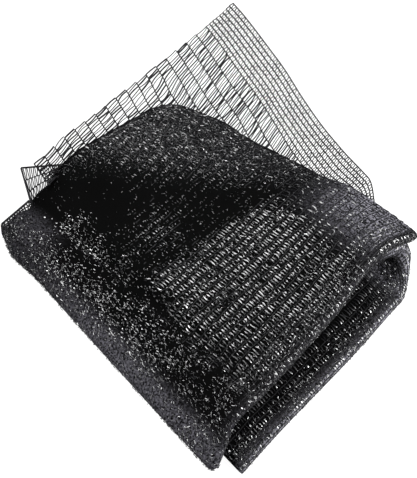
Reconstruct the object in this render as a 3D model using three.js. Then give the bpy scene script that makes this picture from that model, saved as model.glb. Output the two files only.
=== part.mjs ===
// Folded shade cloth: one length of knitted net, turned lengthwise into four plies,
// then folded into three laps, with the corner of one ply standing out at the back.
// Millimetres, +Z up. X runs along the right front edge, Y along the left front edge.
import * as THREE from "three";

// The cloth
const PLY_THICKNESS = 1.5;
const PLY_PITCH = 3.8;
const CLOTH_COLOUR = 0x1c1c1f;
const CLOTH_ROUGHNESS = 0.45;

// The packet
const PACKET_LENGTH = 247.5;
const PACKET_DEPTH = 330;
const LOOP_RADIUS = 12.5;
const NOSE_RADIUS = 2 * PLY_PITCH;
const OUTER_LEVEL = 1.5 * PLY_PITCH;
const INNER_LEVEL = 0.5 * PLY_PITCH;
const LOWER_HEIGHT = OUTER_LEVEL + PLY_THICKNESS / 2;
const MIDDLE_HEIGHT = LOWER_HEIGHT + 2 * LOOP_RADIUS;
const TOP_HEIGHT = MIDDLE_HEIGHT + 2 * NOSE_RADIUS;

// Laps from the floor up: start and end along X, height, setback from the front edge, back edge
const LAPS = [
  { start: 2, end: 235, height: LOWER_HEIGHT, setback: 0, upper: 0, back: 327 },
  { start: 235, end: -4, height: MIDDLE_HEIGHT, setback: 2, upper: 1, back: 329 },
  { start: -4, end: PACKET_LENGTH, height: TOP_HEIGHT, setback: 0, upper: 1, back: 327 },
];
// Front edge of the upper laps, which lies behind that of the lower lap
const UPPER_FRONT = [
  { x: -20, y: 17 },
  { x: 27, y: 33 },
  { x: 88, y: 29 },
  { x: 143, y: 30 },
  { x: 213, y: 37 },
  { x: PACKET_LENGTH, y: 26 },
];
const LOWER_WAVE = 0.8;
const LOWER_WAVE_REACH = 31;
// Places along X between a lap's ends where it can bend, closer by the crease and the fold
const LOWER_STATIONS = [30, 62, 98, 133, 169, 205];
const UPPER_STATIONS = [14, 30, 44, 57, 70, 84, 113, 150, 186, 213];
const LOOP_STEPS = 10;
const NOSE_STEPS = 7;

// Plies across a lap, in the order in which the cloth runs: level above the lap's middle, ends
const INNER_INSET = 6.2;
const BACK_INSET = 2;
const LEG_STEPS = 9;
const SMALL_FOLD_STEPS = 3;
const OUTER_FOLD_STEPS = 6;

// The single ply that stands out: its cut edge at the back, its selvage at the right
const CORNER_COLUMNS = 5;
const CORNER_ROWS = 3;
const CORNER_FRONT = 60;
const CORNER_LEFT = 40;
const CORNER_TIP_X = 312;
const CUT_EDGE_LEFT = 346;
const CUT_EDGE_SLANT = 0.1;
const CUT_EDGE_BOW = 5;
const SELVAGE_START = 267;
const SELVAGE_CURL = 10.5;
const SELVAGE_CURL_END = 110;
const SELVAGE_SLANT = 0.13;
const CORNER_LIFT = 0.52;
const CORNER_EASE = 10;

// Unevenness
const LOOP_LEAN = 0.95;
const LEAN_START = 195;
const LEAN_FADE = 0.7;
const LEAN_TOP = MIDDLE_HEIGHT + OUTER_LEVEL;
const TIP_DROOP = 2;
const DROOP_START = 220;
const NOSE_SQUASH = 0.26;
const LOOP_GAP = 2 * LOOP_RADIUS - 2 * LOWER_HEIGHT;
const RESTING_GAP = 2;
const GAP_CLOSED_X = 100;
const GAP_OPEN_X = 233;
const BACK_GAP_SHARE = 0.6;
const BACK_TAPER = 0.16;
const TAPER_START = 60;
const TAPER_END = 303;
const TAPER_POWER = 2.2;
const BACK_SKEW = 0.17;
const SKEW_START = 90;
const LEFT_SLANT = 0.02;
const LEFT_CORNER_INSET = 9;
const CREASE_CENTRE = { x: 46, y: 157 };
const CREASE_DEPTH = 5;
const CREASE_WIDTH = 9;
const CREASE_SLANT = 0.06;
const RIDGE_HEIGHT = 15;
const RIDGE_RISE = 150;
const RIDGE_FADE = 0.35;
const SAG_DEPTH = 7;
const SAG_WIDTH = 40;
const SAG_CENTRE = { x: 150, y: 182 };
const SAG_SLANT = 0.19;
const SAG_REACH = 95;
const POCKET_CENTRE = { x: 82, y: 285 };
const POCKET_DEPTH = 6;
const POCKET_WIDTH = 30;
// Bands along X or Y over which a form comes in or goes out
const BANDS = {
  nose: { from: -15, to: 60 },
  ridgeLeft: { from: 52, to: 80 },
  ridgeRight: { from: 190, to: 245 },
  droopBack: { from: 90, to: 200 },
  leanBack: { from: 160, to: 310 },
  liftedBack: { from: 235, to: 305 },
  leftCorner: { from: 295, to: 335 },
};

const smooth = (from, to, value) => THREE.MathUtils.smoothstep(value, from, to);
const mix = THREE.MathUtils.lerp;
const bell = (value, width) => Math.exp(-((value / width) ** 2));
const within = (band, value) => smooth(band.from, band.to, value);

// Front edge of the lower or upper laps at a place along X
function frontEdge(x, upper) {
  const lower = LOWER_WAVE * Math.sin(x / LOWER_WAVE_REACH);
  const next = UPPER_FRONT.findIndex((row, i) => i > 0 && x <= row.x);
  const to = UPPER_FRONT[next < 0 ? UPPER_FRONT.length - 1 : next];
  const from = UPPER_FRONT[UPPER_FRONT.indexOf(to) - 1];
  return mix(lower, mix(from.y, to.y, smooth(from.x, to.x, x)), upper);
}

// Stations along the folded run: place and heading of the lap's middle line, and which lap it is in
function runStations() {
  const stations = [];
  LAPS.forEach((lap, i) => {
    const places = lap.upper ? UPPER_STATIONS : LOWER_STATIONS;
    const heading = i === 1 ? Math.PI : 0;
    const ordered = i === 1 ? [...places].reverse() : places;
    for (const x of [lap.start, ...ordered, lap.end]) {
      const front = frontEdge(x, lap.upper) + lap.setback;
      stations.push({ x, z: lap.height, heading, front, back: lap.back, lap: i, out: 0 });
    }
    const next = LAPS[i + 1];
    if (!next) return;
    const turn = i === 0 ? 1 : -1;
    const steps = i === 0 ? LOOP_STEPS : NOSE_STEPS;
    const radius = (next.height - lap.height) / 2;
    for (let k = 1; k < steps; k++) {
      const angle = (Math.PI * k) / steps;
      const x = mix(lap.end, next.start, k / steps) + turn * radius * Math.sin(angle);
      const upper = mix(lap.upper, next.upper, smooth(0, 1, k / steps));
      stations.push({
        x,
        z: lap.height + radius * (1 - Math.cos(angle)),
        heading: heading + turn * angle,
        front: frontEdge(x, upper) + mix(lap.setback, next.setback, k / steps),
        back: mix(lap.back, next.back, k / steps),
        lap: i + 0.5,
        out: 0,
      });
    }
  });
  for (let k = 1; k <= CORNER_COLUMNS; k++) {
    stations.push({ ...stations.at(-1), lap: 2, out: k / CORNER_COLUMNS });
  }
  return stations;
}

// Stations across the cloth: share of the depth, level above the lap's middle, bulge of a fold
function plyStations() {
  const rows = [];
  const leg = (from, to, level, inner) => {
    for (let k = 0; k <= LEG_STEPS; k++) {
      rows.push({ share: mix(from, to, k / LEG_STEPS), level, bulge: 0, inner, out: 0 });
    }
  };
  const fold = (share, from, to, steps, inner) => {
    const radius = Math.abs(to - from) / 2;
    for (let k = 1; k < steps; k++) {
      const angle = (Math.PI * k) / steps;
      const level = (from + to) / 2 + ((from - to) / 2) * Math.cos(angle);
      const bulge = (share ? 1 : -1) * radius * Math.sin(angle);
      rows.push({ share, level, bulge, inner, out: 0 });
    }
  };
  for (let k = CORNER_ROWS; k > 0; k--) {
    rows.push({ share: 1, level: INNER_LEVEL, bulge: 0, inner: true, out: k / CORNER_ROWS });
  }
  leg(1, 0, INNER_LEVEL, true);
  fold(0, INNER_LEVEL, -INNER_LEVEL, SMALL_FOLD_STEPS, true);
  leg(0, 1, -INNER_LEVEL, true);
  fold(1, -INNER_LEVEL, -OUTER_LEVEL, SMALL_FOLD_STEPS, true);
  leg(1, 0, -OUTER_LEVEL, false);
  fold(0, -OUTER_LEVEL, OUTER_LEVEL, OUTER_FOLD_STEPS, false);
  leg(0, 1, OUTER_LEVEL, false);
  return rows;
}

// Rise and fall of the top: the lifted back, the sag before it, the pocket and the crease by the fold
function topRelief(x, y) {
  const behind = y - SAG_CENTRE.y + SAG_SLANT * (x - SAG_CENTRE.x);
  const across = within(BANDS.ridgeLeft, x) * (1 - RIDGE_FADE * within(BANDS.ridgeRight, x));
  const ridge = RIDGE_HEIGHT * across * smooth(0, RIDGE_RISE, behind);
  const sag = SAG_DEPTH * bell(behind, SAG_WIDTH) * bell(x - SAG_CENTRE.x, SAG_REACH);
  const pocket = POCKET_DEPTH * bell(Math.hypot(x - POCKET_CENTRE.x, y - POCKET_CENTRE.y), POCKET_WIDTH);
  const beside = x - CREASE_CENTRE.x + CREASE_SLANT * (y - CREASE_CENTRE.y);
  const crease = CREASE_DEPTH * bell(beside, CREASE_WIDTH);
  return ridge - sag - pocket - crease;
}

// The packet narrows to the back and its back edge runs in to the right
const taper = (y) => BACK_TAPER * Math.max(0, (y - TAPER_START) / (TAPER_END - TAPER_START)) ** TAPER_POWER;
const skew = (x, y) => BACK_SKEW * Math.max(0, x - SKEW_START) * (y / PACKET_DEPTH) ** 2;

// How far the upper laps sink on to the lower one, away from the loop and from the lifted back
function sinking(x, y, z) {
  const upper = smooth(2 * LOWER_HEIGHT, MIDDLE_HEIGHT - LOWER_HEIGHT, z);
  const away = 1 - smooth(GAP_CLOSED_X, GAP_OPEN_X, x);
  const front = 1 - BACK_GAP_SHARE * within(BANDS.liftedBack, y);
  return (LOOP_GAP - RESTING_GAP) * upper * away * front;
}

// How far the loop and the laps above it lean out at the right end, most at the front
function leaning(x, y, z) {
  const above = Math.min(z, LEAN_TOP) - LOWER_HEIGHT - LOOP_RADIUS;
  const front = 1 - LEAN_FADE * within(BANDS.leanBack, y);
  return LOOP_LEAN * above * front * smooth(LEAN_START, LAPS[0].end, x);
}

// How far the end of the top lap droops on to the loop
function drooping(x, y, z) {
  const share = Math.max(0, (x - DROOP_START) / (PACKET_LENGTH - DROOP_START));
  const front = 1 - within(BANDS.droopBack, y);
  return TIP_DROOP * share ** 2 * smooth(MIDDLE_HEIGHT, TOP_HEIGHT, z) * front;
}

// A point of the evenly folded packet moved to where it lies in the uneven one
function settle(x, y, z) {
  const floor = PLY_THICKNESS / 2;
  const nose = 1 - within(BANDS.nose, x);
  const squash = 1 - NOSE_SQUASH * nose;
  const lowered = sinking(x, y, z) + drooping(x, y, z);
  const height = floor + (z - lowered - floor) * squash;
  const weight = Math.max(0, (height - 2 * floor) / TOP_HEIGHT);
  const left = (LEFT_SLANT * y + LEFT_CORNER_INSET * within(BANDS.leftCorner, y)) * nose;
  const px = x * (1 - taper(y)) + left;
  const py = y - skew(x, y);
  const lean = leaning(x, y, z) * (1 - taper(y));
  return new THREE.Vector3(px + lean, py, height + weight * topRelief(px, py));
}

// The standing corner's selvage along Y and its cut edge along X
function selvageAt(y) {
  const curl = SELVAGE_CURL * smooth(CORNER_FRONT, SELVAGE_CURL_END, y);
  return SELVAGE_START + curl + SELVAGE_SLANT * (y - CORNER_FRONT);
}
function cutEdgeAt(x) {
  const share = (x - CORNER_LEFT) / (CORNER_TIP_X - CORNER_LEFT);
  return CUT_EDGE_LEFT - CUT_EDGE_SLANT * (x - CORNER_LEFT) + CUT_EDGE_BOW * Math.sin(Math.PI * share);
}

// A point of the cloth at a station of the run and a ply row
function clothPoint(run, row) {
  const inset = row.inner ? INNER_INSET : OUTER_LEVEL;
  const y = mix(run.front + inset, run.back - BACK_INSET, row.share) + row.bulge;
  const x = run.x - row.level * Math.sin(run.heading);
  const z = run.z + row.level * Math.cos(run.heading);
  const point = settle(x, y, z);
  if (!run.out && !row.out) return point;
  const inside = point.clone();
  const across = mix(inside.x, CORNER_TIP_X, run.out);
  point.y = mix(inside.y, cutEdgeAt(across), row.out);
  point.x = mix(inside.x, selvageAt(point.y), run.out);
  const reach = Math.hypot(point.x - inside.x, point.y - inside.y);
  point.z += (CORNER_LIFT * reach ** 2) / (reach + CORNER_EASE);
  return point;
}

// The sheet as a closed body, both faces of the cloth and its cut edges, centred on its footprint
function clothGeometry() {
  const runs = runStations();
  const rows = plyStations();
  const points = runs.map((run) => rows.map((row) => clothPoint(run, row)));
  const cornerRows = CORNER_ROWS + LEG_STEPS;
  const kept = (i, j) => {
    if (i < 0 || j < 0 || i >= runs.length - 1 || j >= rows.length - 1) return false;
    const beyondEnd = runs[i + 1].out > 0;
    const beyondBack = rows[j].out > 0;
    if (beyondEnd && (j >= cornerRows || points[i][j + 1].y < CORNER_FRONT)) return false;
    return !beyondBack || (runs[i].lap === 2 && points[i][j + 1].x > CORNER_LEFT);
  };
  const used = (i, j) => kept(i, j) || kept(i - 1, j) || kept(i, j - 1) || kept(i - 1, j - 1);
  const alongRun = (i, j) => {
    const ahead = kept(i, j) || kept(i, j - 1) ? i + 1 : i;
    const behind = kept(i - 1, j) || kept(i - 1, j - 1) ? i - 1 : i;
    return points[ahead][j].clone().sub(points[behind][j]);
  };
  const acrossRun = (i, j) => {
    const ahead = kept(i, j) || kept(i - 1, j) ? j + 1 : j;
    const behind = kept(i, j - 1) || kept(i - 1, j - 1) ? j - 1 : j;
    return points[i][ahead].clone().sub(points[i][behind]);
  };
  const positions = [];
  const upper = new Map();
  const lower = new Map();
  const key = (i, j) => i * rows.length + j;
  for (let i = 0; i < runs.length; i++) {
    for (let j = 0; j < rows.length; j++) {
      if (!used(i, j)) continue;
      const normal = alongRun(i, j).cross(acrossRun(i, j)).setLength(PLY_THICKNESS / 2);
      const face = points[i][j].clone().add(normal);
      const back = points[i][j].clone().sub(normal);
      upper.set(key(i, j), positions.length / 3);
      positions.push(face.x, face.y, face.z);
      lower.set(key(i, j), positions.length / 3);
      positions.push(back.x, back.y, back.z);
    }
  }
  const indices = [];
  const quad = (a, b, c, d) => indices.push(a, b, c, a, c, d);
  const wall = (a, b) => quad(lower.get(a), lower.get(b), upper.get(b), upper.get(a));
  for (let i = 0; i < runs.length - 1; i++) {
    for (let j = 0; j < rows.length - 1; j++) {
      if (!kept(i, j)) continue;
      const [a, b, c, d] = [key(i, j), key(i + 1, j), key(i + 1, j + 1), key(i, j + 1)];
      quad(upper.get(a), upper.get(b), upper.get(c), upper.get(d));
      quad(lower.get(d), lower.get(c), lower.get(b), lower.get(a));
      if (!kept(i, j - 1)) wall(a, b);
      if (!kept(i + 1, j)) wall(b, c);
      if (!kept(i, j + 1)) wall(c, d);
      if (!kept(i - 1, j)) wall(d, a);
    }
  }
  const geometry = new THREE.BufferGeometry();
  geometry.setAttribute("position", new THREE.Float32BufferAttribute(positions, 3));
  geometry.setIndex(indices);
  geometry.computeBoundingBox();
  const centre = geometry.boundingBox.getCenter(new THREE.Vector3());
  geometry.translate(-centre.x, -centre.y, -geometry.boundingBox.min.z);
  geometry.computeVertexNormals();
  return geometry;
}

const cloth = new THREE.Mesh(
  clothGeometry(),
  new THREE.MeshStandardMaterial({ color: CLOTH_COLOUR, roughness: CLOTH_ROUGHNESS, metalness: 0 }),
);
cloth.name = "shade_cloth";

const part = new THREE.Group();
part.add(cloth);

export default part;
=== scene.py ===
import math

import bpy
import numpy as np
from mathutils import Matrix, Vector


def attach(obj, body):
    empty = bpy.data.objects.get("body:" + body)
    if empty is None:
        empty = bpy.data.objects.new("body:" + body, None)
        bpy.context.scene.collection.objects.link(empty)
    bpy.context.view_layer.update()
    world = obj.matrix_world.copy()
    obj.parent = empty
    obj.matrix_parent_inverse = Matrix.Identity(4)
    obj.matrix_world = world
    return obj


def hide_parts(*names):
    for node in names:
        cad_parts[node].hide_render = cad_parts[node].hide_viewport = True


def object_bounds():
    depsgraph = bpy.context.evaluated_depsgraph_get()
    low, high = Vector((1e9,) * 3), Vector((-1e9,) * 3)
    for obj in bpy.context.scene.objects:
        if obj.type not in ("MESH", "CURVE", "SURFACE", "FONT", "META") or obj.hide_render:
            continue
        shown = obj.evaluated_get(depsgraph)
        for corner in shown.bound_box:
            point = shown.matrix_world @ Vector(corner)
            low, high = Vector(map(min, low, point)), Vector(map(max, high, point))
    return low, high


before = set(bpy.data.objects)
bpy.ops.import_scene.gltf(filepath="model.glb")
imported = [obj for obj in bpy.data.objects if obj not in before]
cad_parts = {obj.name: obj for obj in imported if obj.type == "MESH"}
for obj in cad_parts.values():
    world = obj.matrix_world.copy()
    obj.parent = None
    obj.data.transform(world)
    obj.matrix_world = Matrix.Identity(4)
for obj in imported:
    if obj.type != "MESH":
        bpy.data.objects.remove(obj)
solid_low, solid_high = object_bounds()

MM = 0.001
SEED = 41

# The folded packet, in millimetres: X along the right front edge, Y along the left front edge
PLY_PITCH = 3.8
SOLID_PLY = 1.5
PACKET_LENGTH = 247.5
PACKET_DEPTH = 330
LOOP_RADIUS = 12.5
NOSE_RADIUS = 2 * PLY_PITCH
OUTER_LEVEL = 1.5 * PLY_PITCH
INNER_LEVEL = 0.5 * PLY_PITCH
LOWER_HEIGHT = OUTER_LEVEL + SOLID_PLY / 2
MIDDLE_HEIGHT = LOWER_HEIGHT + 2 * LOOP_RADIUS
TOP_HEIGHT = MIDDLE_HEIGHT + 2 * NOSE_RADIUS
LAPS = [
    dict(start=2, end=235, height=LOWER_HEIGHT, setback=0, upper=0, back=327, heading=0),
    dict(start=235, end=-4, height=MIDDLE_HEIGHT, setback=2, upper=1, back=329, heading=math.pi),
    dict(start=-4, end=PACKET_LENGTH, height=TOP_HEIGHT, setback=0, upper=1, back=327, heading=0),
]
TURNS = [1, -1]
UPPER_FRONT_X = np.array([-20, 27, 88, 143, 213, PACKET_LENGTH])
UPPER_FRONT_Y = np.array([14, 29, 29, 30, 37, 26])
LOWER_WAVE = 0.8
LOWER_WAVE_REACH = 31
INNER_INSET = 6.2
BACK_INSET = 2
LEG = 300

# The middle of the packet's footprint, which is the origin of the solid
CENTRE = np.array([147.15, 172.28, 0.0])

# How closely the folds are worked out
LAP_STATIONS = 134
TURN_STATIONS = 62
PLY_STATIONS = 61
PLY_TURN_STATIONS = 26
EDGE_STATIONS = 200
NORMAL_STEP = 0.6
ALONG_STEP = 0.5

# The standing corner: its cut edge at the back, its selvage at the right
CORNER_FRONT = 60
CORNER_LEFT = 40
CUT_EDGE_LEFT = 347.5
CUT_EDGE_SLANT = 0.127
SELVAGE_START = 255.5
SELVAGE_CURL = 22
SELVAGE_CURL_END = 100
SELVAGE_CURL_FADE = 60
SELVAGE_SLANT = 0.118
CORNER_LIFT = 0.52
CORNER_EASE = 10
CORNER_BASE_HEIGHT = 44.5
CORNER_CREST = 13.5
CORNER_CREST_X = 215
CORNER_CREST_WIDTH = 62
CORNER_CREST_DEPTH = 60
CORNER_FREE_REACH = 24
CORNER_END_SPAN = (20, 365)

# Unevenness of the packet
LOOP_LEAN = 0.95
LEAN_START = 195
LEAN_FADE = 0.7
LEAN_TOP = MIDDLE_HEIGHT + OUTER_LEVEL
TIP_DROOP = 2
DROOP_START = 220
NOSE_SQUASH = 0.26
LOOP_GAP = 2 * LOOP_RADIUS - 2 * LOWER_HEIGHT
RESTING_GAP = 2
GAP_CLOSED_X = 100
GAP_OPEN_X = 233
BACK_GAP_SHARE = 0.6
BACK_TAPER = 0.16
TAPER_START = 60
TAPER_END = 303
TAPER_POWER = 2.2
BACK_SKEW = 0.17
SKEW_START = 90
LEFT_SLANT = 0.02
LEFT_CORNER_INSET = 3
LEFT_BULGE = 4
LEFT_BULGE_Y = 293
LEFT_BULGE_WIDTH = 25
LEFT_RECESS = 10
CREASE_CENTRE = (46, 157)
CREASE_DEPTH = 5
CREASE_WIDTH = 9
CREASE_SLANT = 0.06
RIDGE_HEIGHT = 15
RIDGE_RISE = 150
RIDGE_FADE = 0.35
SAG_DEPTH = 7
SAG_WIDTH = 40
SAG_CENTRE = (150, 182)
SAG_SLANT = 0.19
SAG_REACH = 95
POCKET_CENTRE = (82, 285)
POCKET_DEPTH = 6
POCKET_WIDTH = 30
CREASES = [
    dict(start=(54, 50), end=(42, 250), rise=-3, width=6, fade=20),
    dict(start=(70, 42), end=(245, 42), rise=3, width=45, fade=20),
    dict(start=(74, 194), end=(228, 165), rise=2.5, width=9, fade=15),
    dict(start=(24, 330), end=(66, 330), rise=-13, width=24, fade=9),
    dict(start=(248, 120), end=(224, 228), rise=-11, width=24, fade=22),
    dict(start=(46, 24), end=(112, 24), rise=-7, width=24, fade=18),
]

# Bands of X and Y: the two limits of a rise and, where the band ends again, the two of its fall
BANDS = dict(
    # The shape of the packet
    nose=(-15, 60),
    ridge_left=(62, 106),
    ridge_right=(190, 245),
    corner_base=(56, 125),
    droop_back=(90, 200),
    lean_back=(160, 310),
    lifted_back=(235, 305),
    left_corner=(295, 335),
    recess_right=(30, 50),
    recess_back=(260, 330),
    # The painted sheen of the plain sheet
    nose_dim=(150, 270),
    right_end=(195, 255),
    right_end_back=(80, 150),
    left_back=(250, 290),
    left_back_right=(20, 40),
    # The rows of the top
    rows_step=(110, 160),
    left_rows=(36, 44),
    left_rows_depth=(175, 200, 255, 275),
    lifted_net=(330, 400),
    sag_front=(-26, -14),
    sag_back=(330, 380),
    loose_ends_right=(130, 190),
    # The glints of the crumpled left
    brow_glints_right=(-8, 4),
    tip_glints_right=(14, 30),
    tip_glints_back=(50, 100),
    outer_glints=(-14, 6, 20, 38),
    outer_glints_front=(60, 110),
    outer_glints_back=(255, 290),
    inner_glints_left=(34, 46),
    inner_glints_depth=(170, 205, 265, 285),
    front_glints=(28, 34, 40, 45),
    front_glints_right=(50, 54),
    front_glints_back=(150, 185),
    edge_glints_right=(24, 34),
    edge_glints_depth=(292, 304, 322, 326),
)

# The plain sheet under the knit: its thickness, and the steps between its points on each lap and turn
SHEET_THICKNESS = 0.8
CORNER_ROUND = 22
LOWER_STEP = 7
LOOP_STEP = 2.4
MIDDLE_STEP = 6
NOSE_STEP = 1.5
TOP_STEP = 5
PLY_STEP = 10
TOP_PLY_STEP = 6
INNER_FOLD_STEP = 1
OUTER_FOLD_STEP = 1.5

# How much painted violet-grey sheen the sheet's colour takes where folds draw the net closed
NOSE_SHEEN_DIMMING = 0.66
LOWER_FOLD_SHEEN = 0.8
UPPER_FOLD_SHEEN = 0.14
PAINTED_SHEEN = dict(nose=0.54, fold=1.1, loop=0.45, right_end=0.8, lifted=0.03, left_back=0.15)

# The grain of the painted sheen: about a tape and a half wide, coarse enough to show
SHEEN_GRAIN = 1.7

# The rows of the net: its stitch lines and its weft tapes
LEAST_SPACING = 6.6
MOST_SPACING = 9.8
FOLD_SPACING_SHARE = 0.65
RIB_SPACING = 3.2
WEFT_PITCH = 3.1
TAPE_WIDTH = 1.2
TAPE_THICKNESS = 0.25
STITCH_WIDTH = 0.8
STITCH_THICKNESS = 0.35
FLOOR_CLEARANCE = 0.6
OUTER_LIFT = 0.6
BACK_FOLD_REACH = 14
ROW_MIDDLE_X = 120
ROWS_LEFT = 44
ROWS_STEP = 16
ROWS_RAGGED = 7
ROWS_RAGGED_REACH = 4.5
ROWS_FADE_IN = 18
ROWS_FADE_OUT = 12
LEFT_ROWS_SHARE = 0.5
ROW_SWAY = 0.9
ROW_SWAY_REACH = 14
ROW_LEAN = -0.03
SAG_LEAN = -0.16
SAG_PATCH = (98, 203)
SAG_PATCH_WIDTH = 24
SAG_PATCH_SHARE = 0.6
LIFTED_SLANT = 0.85
DARK_POCKET_FORWARD = 8
DARK_POCKET_WIDTH = 1.3 * POCKET_WIDTH

# How a weft tape lies: slip, bow, rise and tilt are a measure in a neat row and what crumpling adds to it
WEFT_ZIGZAG = 0.08
WEFT_LENGTH = 0.68
WEFT_SHORTENED = 0.3
# Shorter and narrower tapes in the sag let more of the sheet's black show there, painted shade
SAG_SHORTENED = 0.36
WEFT_SHIFT = 0.3
WEFT_SLIP = (0.25, 3)
WEFT_BOW = (0.25, 1)
WEFT_RISE = (0.25, 0.6)
WEFT_RISE_CHANCE = 0.4
TAUT_SINK = 0.2
WEFT_TILT = (0.07, 0.6)
WEFT_CURL = 0.9
DRIFT_SPACING = 32
DRIFT_TWIST = 0.12
ROW_DRIFT = 0.5
WEFT_WIDTHS = (0.55, 1.15)
WEFT_NARROWED = 0.35
SAG_NARROWED = 0.64
WEFT_ENDS = 0.65

# How crumpled the net is, which tapes are missing from their rows, and where loose ends and glints lie
CRUMPLE = dict(row=0.22, lifted=0.5, below=0.35, taut=0.9)
# Tapes left out in the sag and pocket, with fewer loose ends there, let the sheet's black show as painted
# shade
MISSING = dict(row=0.04, fold=0.5, sag=0.45, pocket=0.95)
POCKET_MISSING_RISE = 1.6
FEWER_LOOSE_ENDS = dict(sag=0.9, pocket=0.9, right=0.7)
LOOSE_ENDS_SLANT = 0.4
GLINTS = dict(everywhere=0.06, tip=0.3, brow=0.25, outer=0.7, inner=1.0, front=0.7, edge=0.5)
OUTER_GLINTS_FRONT = 0.4
OUTER_GLINTS_FADE = 0.5
CROWN_PATCHES = 0.75
CROWN_PATCH_REACH = 23
CROWN_PATCH_START = 1
LOOP_LOOSE_ENDS = 0.5
UPPER_LOOSE_ENDS = 0.4
CRUMPLED_LENGTHS = (0.25, 1.3)
CRUMPLED_WIDTHS = (0.2, 0.8)
CRUMPLED_RISE = 0.8
CRUMPLED_MARGIN = 3

# The chain stitches along the lines
STITCH_START = 0.5
STITCH_STATIONS = 3
STITCH_HOLD = (0.2, 0.5)
STITCH_WANDER = 0.5
STITCH_ENDS = 0.75
STITCH_SWELL = 0.4

# The net of the standing corner: weft size and zigzag are a measure in a close net and what a wide one adds
SELVAGE_LINES = 9
SELVAGE_SPACING = 4.2
CORNER_LINES = 20
CORNER_SPACING = 12.7
SELVAGE_BOW = 7.5
SELVAGE_BOW_START = 100
SELVAGE_BOW_FADE = 120
CORNER_NET_FRONT = 66
CORNER_NET_LEFT = 50
CORNER_NET_DEPTH = 290
CORNER_TUCK = 8
CORNER_WEFT = 2.25
CORNER_WEFT_START = 0.5
CORNER_WEFT_STATIONS = 5
CORNER_WEFT_LEAN = 0.13
CORNER_WEFT_WIDTHS = (0.6, 1.4)
CORNER_WEFT_SIZE = (0.8, 0.5)
CORNER_WEFT_THICKNESS = 0.4
CORNER_ZIGZAG = (0.24, -0.12)
CORNER_WEFT_SLIP = 0.3
CORNER_WEFT_BOW = 0.35
CORNER_WEFT_RISE = 0.4
CORNER_WEFT_CURL = 0.4
CORNER_CHAIN_WIDTH = 1.0
CORNER_CHAIN_SWELL = 0.4
CORNER_CHAIN_SWAY = 0.2
CORNER_CHAIN_THICKNESS = 0.6

# The two open ends of the net at the left back: the stretch of the top ply, measured from the nose,
# that each leaves, its two outer corners, and its spacing and widths
OPEN_ENDS = [
    dict(
        name="left_net",
        root=(44, 94),
        outer=np.array([(49.0, 348.0, 52.5), (79.0, 319.0, 57.0)]),
        facing=np.array([-0.45, -0.35, 0.8]),
        rows=3,
        pitch=2.4,
        weft=0.85,
        stitch=1.0,
        rim=1.8,
    ),
    dict(
        name="left_edge",
        root=(-9, 41),
        outer=np.array([(0.0, 321.0, 34.0), (35.0, 322.0, 37.0)]),
        facing=np.array([0.0, 0.0, 1.0]),
        rows=2,
        pitch=4.4,
        weft=1.4,
        stitch=1.3,
        rim=2.4,
    ),
]
OPEN_END_THICKNESS = 0.5
OPEN_END_STATIONS = 16
OPEN_END_TUCK = 2
OPEN_WEFT_STATIONS = 3
OPEN_WEFT_ZIGZAG = 0.5
OPEN_WEFT_CHANCE = 0.25

# The photograph's camera, in the packet's millimetres, degrees and the picture's pixels
CAMERA_PLACE = np.array([-86.5, -49.2, 564.6])
CAMERA_PITCH = 60
CAMERA_TURN = 45
FOCAL_PIXELS = 640
FRAME_PIXELS = 478
SENSOR = 36

# The studio, in metres and watts
TABLE_REACH = 4.0
ROOM_LIGHT = 0.08
LAMPS = [
    dict(name="back_softbox", place=(0.32, 0.50, 1.04), size=0.58, power=28),
    dict(name="front_softbox", place=(0.42, -0.66, 0.77), size=0.4, power=28),
    dict(name="left_softbox", place=(-0.36, 0.36, 1.0), size=0.27, power=15),
    dict(name="left_panel", place=(-0.90, 0.40, 0.50), size=0.9, power=14),
    dict(name="front_panel", place=(0.36, -0.95, 0.40), size=0.8, power=46),
]


def smooth(start, end, value):
    """0 before start, 1 after end, with level ends between: 3t squared less 2t cubed."""
    t = np.clip((value - start) / (end - start), 0, 1)
    return t * t * (3 - 2 * t)


def band(name, value):
    """A named band of places: a smooth rise and, where it has two more limits, a smooth fall after it."""
    start, full, *ending = BANDS[name]
    rise = smooth(start, full, value)
    return rise * (1 - smooth(*ending, value)) if ending else rise


def bell(value, width):
    """A soft bump: e to the minus square of the distance over its width."""
    return np.exp(-((value / width) ** 2))


def mix(a, b, share):
    """The point that lies a share of the way from a to b."""
    return a + (b - a) * share


def grown(pair, share):
    """A measure with a share of what is added to it: the first of the pair plus a share of the second."""
    return pair[0] + pair[1] * share


def unit(vectors):
    """Vectors along the last axis, each over its own length."""
    return vectors / np.linalg.norm(vectors, axis=-1, keepdims=True)


def front_edge(x, upper):
    """Front edge at x: a slight sine wave on the lower lap, smooth steps between points on the others."""
    lower = LOWER_WAVE * np.sin(x / LOWER_WAVE_REACH)
    to = np.clip(np.searchsorted(UPPER_FRONT_X, x), 1, len(UPPER_FRONT_X) - 1)
    share = smooth(UPPER_FRONT_X[to - 1], UPPER_FRONT_X[to], x)
    return mix(lower, mix(UPPER_FRONT_Y[to - 1], UPPER_FRONT_Y[to], share), upper)


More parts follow.
